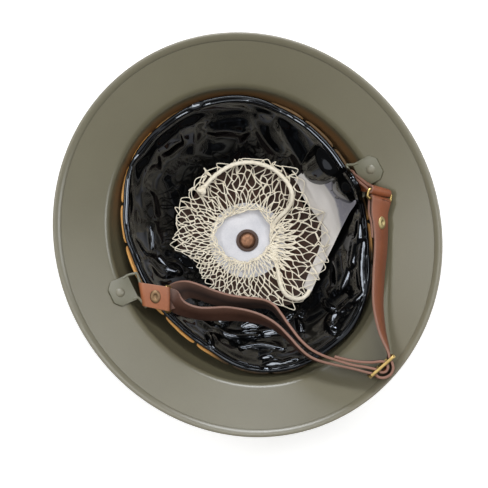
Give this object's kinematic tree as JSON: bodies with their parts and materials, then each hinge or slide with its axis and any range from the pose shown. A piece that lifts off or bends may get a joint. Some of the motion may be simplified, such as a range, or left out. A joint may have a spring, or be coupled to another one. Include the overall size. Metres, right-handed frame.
{
  "type": "steel helmet",
  "caption": "Shallow wide-brimmed steel helmet lying crown down, with a folded black cloth liner, string net, padded band and leather chin strap",
  "frame": {"origin": "Centre of the helmet's box in plan, on the level of the crown rivet's outer face that it rests on", "axes": "Crown down: +Z runs from the crown out of the open side, +Y along the longer way of the brim, front to back, and +X across it"},
  "size_m": [0.285, 0.3044, 0.1304],
  "materials": {
    "khaki_paint": "worn drab paint with a satin sheen",
    "lug_paint": "satin drab paint",
    "leather": "dry brown leather",
    "tan_leather": "tan leather",
    "tan_rubber": "aged tan rubber",
    "brass": "dull worn brass",
    "copper": "dull copper",
    "oilcloth": "black oiled cloth with a gloss",
    "brown_felt": "matt felt",
    "cotton": "matt cotton",
    "cream_string": "twisted string",
    "label_paper": "mottled, bare",
    "dark_steel": "dark worn steel"
  },
  "bodies": {
    "root": {"shell": "khaki_paint", "rim_strip": "khaki_paint", "lug_left": "lug_paint", "lug_right": "lug_paint", "lug_rivet_left": "lug_paint", "lug_rivet_right": "lug_paint", "strap_ring_left": "brass", "strap_ring_right": "brass", "strap_tab_left": "leather", "strap_tab_right": "leather", "tab_rivet_left": "brass", "slide_buckle": "brass", "chin_strap": "leather", "strap_rivet": "brass", "oilcloth_liner": "oilcloth", "liner_band": "tan_leather", "band_pad_01": "tan_rubber", "band_pad_02": "tan_rubber", "band_pad_03": "tan_rubber", "band_pad_04": "tan_rubber", "band_pad_05": "tan_rubber", "band_pad_06": "tan_rubber", "band_pad_07": "tan_rubber", "band_pad_08": "tan_rubber", "band_pad_09": "tan_rubber", "band_pad_10": "tan_rubber", "band_pad_11": "tan_rubber", "band_pad_12": "tan_rubber", "band_pad_13": "tan_rubber", "band_pad_14": "tan_rubber", "band_pad_15": "tan_rubber", "band_pad_16": "tan_rubber", "band_pad_17": "tan_rubber", "band_pad_18": "tan_rubber", "band_pad_19": "tan_rubber", "band_pad_20": "tan_rubber", "crown_felt": "brown_felt", "size_label": "label_paper", "cotton_pad": "cotton", "string_net": "cream_string", "draw_cord": "cream_string", "crown_washer": "dark_steel", "crown_rivet": "copper"}
  },
  "joints": []
}
